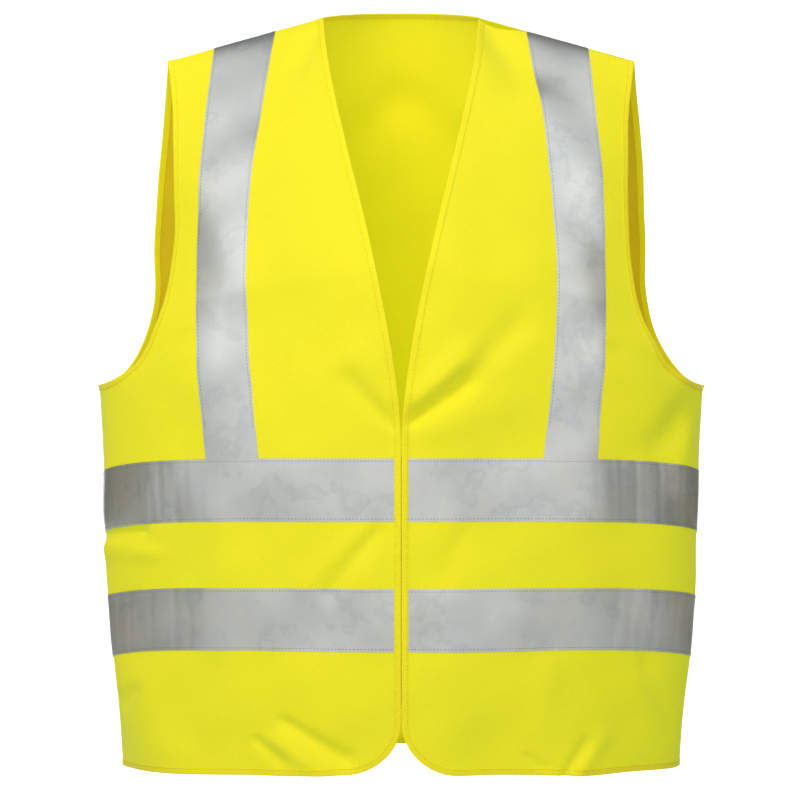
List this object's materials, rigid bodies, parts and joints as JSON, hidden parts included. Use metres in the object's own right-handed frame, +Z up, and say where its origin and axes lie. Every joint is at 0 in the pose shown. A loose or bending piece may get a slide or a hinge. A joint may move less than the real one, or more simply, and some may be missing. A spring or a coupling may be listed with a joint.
{
  "type": "high visibility vest",
  "caption": "Sleeveless fluorescent yellow safety vest with reflective bands and shoulder braces, front opening, bound edges.",
  "frame": {"origin": "middle of the straight line between the two neck points, where the wearer's shoulders hold the vest", "axes": "+Z up, the front faces -Y, +X towards the wearer's left"},
  "size_m": [0.5032, 0.2703, 0.6309],
  "materials": {
    "fluorescent_cloth": "matte",
    "edge_binding": "satin",
    "reflective_tape": "satin",
    "touch_fastener": "matte",
    "label_cloth": "satin"
  },
  "bodies": {
    "root": {"back_panel": "fluorescent_cloth", "armhole_binding_back_left": "edge_binding", "armhole_binding_back_right": "edge_binding", "hem_binding_back": "edge_binding", "neck_binding_back": "edge_binding", "upper_band_back": "reflective_tape", "lower_band_back": "reflective_tape", "brace_back_left": "reflective_tape", "brace_back_right": "reflective_tape", "care_label": "label_cloth"},
    "front_left": {"front_panel_left": "fluorescent_cloth", "front_binding_left": "edge_binding", "armhole_binding_front_left": "edge_binding", "upper_band_front_left": "reflective_tape", "lower_band_front_left": "reflective_tape", "brace_front_left": "reflective_tape", "loop_strip": "touch_fastener"},
    "front_right": {"front_panel_right": "fluorescent_cloth", "front_binding_right": "edge_binding", "armhole_binding_front_right": "edge_binding", "upper_band_front_right": "reflective_tape", "lower_band_front_right": "reflective_tape", "brace_front_right": "reflective_tape", "hook_strip": "touch_fastener"}
  },
  "joints": [
    {"name": "left_front_open", "type": "hinge", "parent": "root", "child": "front_left", "pos_m": [0.252, 0, -0.305], "axis": [0.0616, 0, 0.9981], "range_deg": [0, 60]},
    {"name": "right_front_open", "type": "hinge", "parent": "root", "child": "front_right", "pos_m": [-0.252, 0, -0.305], "axis": [0.0616, 0, -0.9981], "range_deg": [0, 60]}
  ],
  "couplings": [
    {"joint": "right_front_open", "follows": "left_front_open", "ratio": 0.8}
  ]
}
